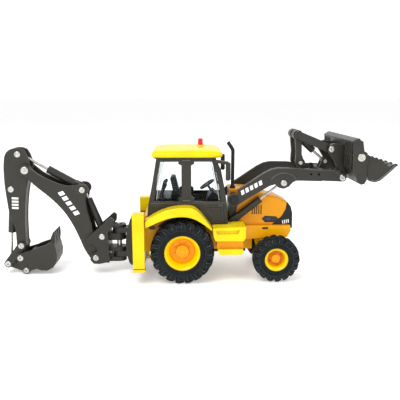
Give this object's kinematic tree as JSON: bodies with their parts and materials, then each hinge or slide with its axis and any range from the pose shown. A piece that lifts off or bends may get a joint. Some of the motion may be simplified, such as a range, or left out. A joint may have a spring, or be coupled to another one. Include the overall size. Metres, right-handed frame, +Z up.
{
  "type": "toy backhoe loader",
  "caption": "Die-cast toy backhoe loader with lifting loader arms, clamshell bucket, swinging backhoe, stabilizer legs and rolling wheels.",
  "frame": {"origin": "ground level under the middle of the overall length, on the vehicle's centre plane", "axes": "+X forward to the loader bucket, +Y to the vehicle's left, +Z up"},
  "size_m": [0.1851, 0.0488, 0.0703],
  "materials": {
    "orange_paint": "gloss",
    "yellow_paint": "gloss",
    "dark_paint": "satin",
    "black_plastic": "matte",
    "bright_steel": "bright",
    "clear_plastic": "clear",
    "red_plastic": "gloss",
    "tyre_rubber": "matte"
  },
  "bodies": {
    "chassis": {"chassis_frame": "orange_paint", "belly_plate": "black_plastic", "hood": "orange_paint", "front_grille": "black_plastic", "exhaust_stack": "black_plastic", "loader_masts": "dark_paint", "cab_body": "dark_paint", "cab_frame": "dark_paint", "glazing": "clear_plastic", "roof": "yellow_paint", "beacon": "red_plastic", "cab_interior": "black_plastic", "seat": "black_plastic", "steering_wheel": "black_plastic", "rear_fenders": "yellow_paint", "side_steps": "yellow_paint", "rear_frame": "dark_paint", "stabilizer_housings": "yellow_paint"},
    "leg_right": {"stabilizer_leg_right": "yellow_paint"},
    "leg_left": {"stabilizer_leg_left": "yellow_paint"},
    "front_axle": {"front_axle_beam": "dark_paint"},
    "knuckle_right": {"knuckle_right": "dark_paint"},
    "knuckle_left": {"knuckle_left": "dark_paint"},
    "tie_rod": {"tie_rod": "dark_paint"},
    "front_wheel_right": {"front_rim_right": "yellow_paint", "front_tyre_right": "tyre_rubber"},
    "front_wheel_left": {"front_rim_left": "yellow_paint", "front_tyre_left": "tyre_rubber"},
    "rear_wheels": {"rear_axle_shaft": "bright_steel", "rear_rims": "yellow_paint", "rear_tyres": "tyre_rubber"},
    "loader_arms": {"loader_arm_right": "dark_paint", "loader_arm_left": "dark_paint", "arm_cross_tubes": "dark_paint", "loader_pins": "bright_steel"},
    "lift_barrels": {"lift_barrels": "dark_paint"},
    "lift_rods": {"lift_rods": "bright_steel"},
    "bell_crank": {"bell_crank": "dark_paint"},
    "tilt_link": {"tilt_link": "dark_paint"},
    "tilt_barrel": {"tilt_barrel": "dark_paint"},
    "tilt_rod": {"tilt_rod": "bright_steel"},
    "loader_bucket": {"quick_coupler": "dark_paint", "loader_bucket": "dark_paint"},
    "clam": {"clamshell": "dark_paint"},
    "carriage": {"shift_carriage": "dark_paint"},
    "post": {"swing_post": "dark_paint", "post_pins": "bright_steel"},
    "boom": {"boom": "dark_paint", "boom_pins": "bright_steel"},
    "boom_barrel": {"boom_barrel": "dark_paint"},
    "boom_rod": {"boom_rod": "bright_steel"},
    "dipper": {"dipper": "dark_paint", "dipper_pins": "bright_steel"},
    "dipper_barrel": {"dipper_barrel": "dark_paint"},
    "dipper_rod": {"dipper_rod": "bright_steel"},
    "hoe_bucket": {"hoe_bucket": "dark_paint"},
    "guide_links": {"guide_links": "dark_paint"},
    "bucket_link": {"bucket_link": "dark_paint"},
    "bucket_barrel": {"bucket_barrel": "dark_paint"},
    "bucket_rod": {"bucket_rod": "bright_steel"}
  },
  "joints": [
    {"name": "leg_right_slide", "type": "slide", "parent": "chassis", "child": "leg_right", "axis": [0, 0, 1], "range_m": [-0.0063, 0]},
    {"name": "leg_left_slide", "type": "slide", "parent": "chassis", "child": "leg_left", "axis": [0, 0, 1], "range_m": [0, 0.0063]},
    {"name": "axle_oscillation", "type": "hinge", "parent": "chassis", "child": "front_axle", "pos_m": [0.0394, 0, 0.011], "axis": [1, 0, 0], "range_deg": [-5, 5]},
    {"name": "steer_right", "type": "hinge", "parent": "front_axle", "child": "knuckle_right", "pos_m": [0.0394, -0.0108, 0.011], "axis": [0, 0, 1], "range_deg": [-18, 18]},
    {"name": "steer_left", "type": "hinge", "parent": "front_axle", "child": "knuckle_left", "pos_m": [0.0394, 0.0108, 0.011], "axis": [0, 0, 1], "range_deg": [-18.5, 18.5]},
    {"name": "tie_rod_turn", "type": "hinge", "parent": "knuckle_right", "child": "tie_rod", "pos_m": [0.0342, -0.0108, 0.0073], "axis": [0, 0, 1], "range_deg": [-18.5, 18.5]},
    {"name": "front_wheel_right_spin", "type": "hinge", "parent": "knuckle_right", "child": "front_wheel_right", "pos_m": [0.0394, -0.0171, 0.011], "axis": [0, 1, 0], "continuous": true},
    {"name": "front_wheel_left_spin", "type": "hinge", "parent": "knuckle_left", "child": "front_wheel_left", "pos_m": [0.0394, 0.0171, 0.011], "axis": [0, 1, 0], "continuous": true},
    {"name": "rear_wheels_spin", "type": "hinge", "parent": "chassis", "child": "rear_wheels", "pos_m": [-0.0046, 0, 0.0149], "axis": [0, 1, 0], "continuous": true},
    {"name": "loader_lift", "type": "hinge", "parent": "chassis", "child": "loader_arms", "pos_m": [0.0198, 0, 0.0382], "axis": [0, -1, 0], "range_deg": [-50, 22]},
    {"name": "lift_barrels_turn", "type": "hinge", "parent": "chassis", "child": "lift_barrels", "pos_m": [0.0194, 0, 0.0275], "axis": [0, -1, 0], "range_deg": [-41.23, 18.42]},
    {"name": "lift_rods_slide", "type": "slide", "parent": "lift_barrels", "child": "lift_rods", "axis": [0.7825, 0, 0.6227], "range_m": [-0.00827, 0.00381]},
    {"name": "bucket_tilt", "type": "hinge", "parent": "loader_arms", "child": "loader_bucket", "pos_m": [0.0704, 0, 0.0487], "axis": [0, -1, 0], "range_deg": [-32, 8]},
    {"name": "crank_turn", "type": "hinge", "parent": "loader_arms", "child": "bell_crank", "pos_m": [0.0519, 0, 0.0548], "axis": [0, -1, 0], "range_deg": [-30.54, 8.01]},
    {"name": "tilt_link_turn", "type": "hinge", "parent": "bell_crank", "child": "tilt_link", "pos_m": [0.0502, 0, 0.0681], "axis": [0, -1, 0], "range_deg": [-9.61, 36.95]},
    {"name": "tilt_barrel_turn", "type": "hinge", "parent": "bell_crank", "child": "tilt_barrel", "pos_m": [0.0502, 0, 0.0681], "axis": [0, -1, 0], "range_deg": [-4.1, 14.89]},
    {"name": "tilt_rod_slide", "type": "slide", "parent": "tilt_barrel", "child": "tilt_rod", "axis": [0.7456, 0, -0.6664], "range_m": [-0.00536, 0.00157]},
    {"name": "clam_open", "type": "hinge", "parent": "loader_bucket", "child": "clam", "pos_m": [0.075, 0, 0.0593], "axis": [0, -1, 0], "range_deg": [0, 55]},
    {"name": "side_shift", "type": "slide", "parent": "chassis", "child": "carriage", "axis": [0, 1, 0], "range_m": [-0.009, 0.009]},
    {"name": "swing", "type": "hinge", "parent": "carriage", "child": "post", "pos_m": [-0.0361, 0, 0.016], "axis": [0, 0, 1], "range_deg": [-55, 55]},
    {"name": "boom_raise", "type": "hinge", "parent": "post", "child": "boom", "pos_m": [-0.047, 0, 0.0084], "axis": [0, -1, 0], "range_deg": [-15, 35]},
    {"name": "boom_barrel_turn", "type": "hinge", "parent": "post", "child": "boom_barrel", "pos_m": [-0.0436, 0, 0.0191], "axis": [0, -1, 0], "range_deg": [-19.23, 44.2]},
    {"name": "boom_rod_slide", "type": "slide", "parent": "boom_barrel", "child": "boom_rod", "axis": [-0.3686, 0, 0.9296], "range_m": [-0.00245, 0.00531]},
    {"name": "dipper_turn", "type": "hinge", "parent": "boom", "child": "dipper", "pos_m": [-0.0793, 0, 0.0514], "axis": [0, -1, 0], "range_deg": [-60, 8]},
    {"name": "dipper_barrel_turn", "type": "hinge", "parent": "boom", "child": "dipper_barrel", "pos_m": [-0.0526, 0, 0.0418], "axis": [0, -1, 0], "range_deg": [-8.59, 1.58]},
    {"name": "dipper_rod_slide", "type": "slide", "parent": "dipper_barrel", "child": "dipper_rod", "axis": [-0.8695, 0, 0.494], "range_m": [-0.00732, 0.00124]},
    {"name": "hoe_bucket_curl", "type": "hinge", "parent": "dipper", "child": "hoe_bucket", "pos_m": [-0.08384, 0, 0.00835], "axis": [0, -1, 0], "range_deg": [-70, 8]},
    {"name": "guide_links_turn", "type": "hinge", "parent": "dipper", "child": "guide_links", "pos_m": [-0.08345, 0, 0.01407], "axis": [0, -1, 0], "range_deg": [-39.17, 4.92]},
    {"name": "bucket_link_turn", "type": "hinge", "parent": "guide_links", "child": "bucket_link", "pos_m": [-0.09053, 0, 0.00498], "axis": [0, -1, 0], "range_deg": [-0.71, 2.31]},
    {"name": "bucket_barrel_turn", "type": "hinge", "parent": "dipper", "child": "bucket_barrel", "pos_m": [-0.0869, 0, 0.04205], "axis": [0, -1, 0], "range_deg": [-9.44, 1.52]},
    {"name": "bucket_rod_slide", "type": "slide", "parent": "bucket_barrel", "child": "bucket_rod", "axis": [-0.0975, 0, -0.9952], "range_m": [-0.00569, 0.00092]}
  ],
  "couplings": [
    {"joint": "steer_left", "follows": "steer_right", "ratio": 1},
    {"joint": "tie_rod_turn", "follows": "steer_right", "ratio": -1},
    {"joint": "lift_barrels_turn", "follows": "loader_lift", "ratio": 0.8145},
    {"joint": "lift_rods_slide", "follows": "loader_lift", "m_per_rad": 0.009129},
    {"joint": "crank_turn", "follows": "bucket_tilt", "ratio": 0.9388},
    {"joint": "tilt_link_turn", "follows": "bucket_tilt", "ratio": -1.1391},
    {"joint": "tilt_barrel_turn", "follows": "bucket_tilt", "ratio": -0.4497},
    {"joint": "tilt_rod_slide", "follows": "bucket_tilt", "m_per_rad": 0.009067},
    {"joint": "boom_barrel_turn", "follows": "boom_raise", "ratio": 1.2487},
    {"joint": "boom_rod_slide", "follows": "boom_raise", "m_per_rad": 0.008205},
    {"joint": "dipper_barrel_turn", "follows": "dipper_turn", "ratio": 0.1348},
    {"joint": "dipper_rod_slide", "follows": "dipper_turn", "m_per_rad": 0.006699},
    {"joint": "guide_links_turn", "follows": "hoe_bucket_curl", "ratio": 0.5524},
    {"joint": "bucket_link_turn", "follows": "hoe_bucket_curl", "ratio": -0.0258},
    {"joint": "bucket_barrel_turn", "follows": "hoe_bucket_curl", "ratio": 0.1277},
    {"joint": "bucket_rod_slide", "follows": "hoe_bucket_curl", "m_per_rad": 0.004415}
  ]
}
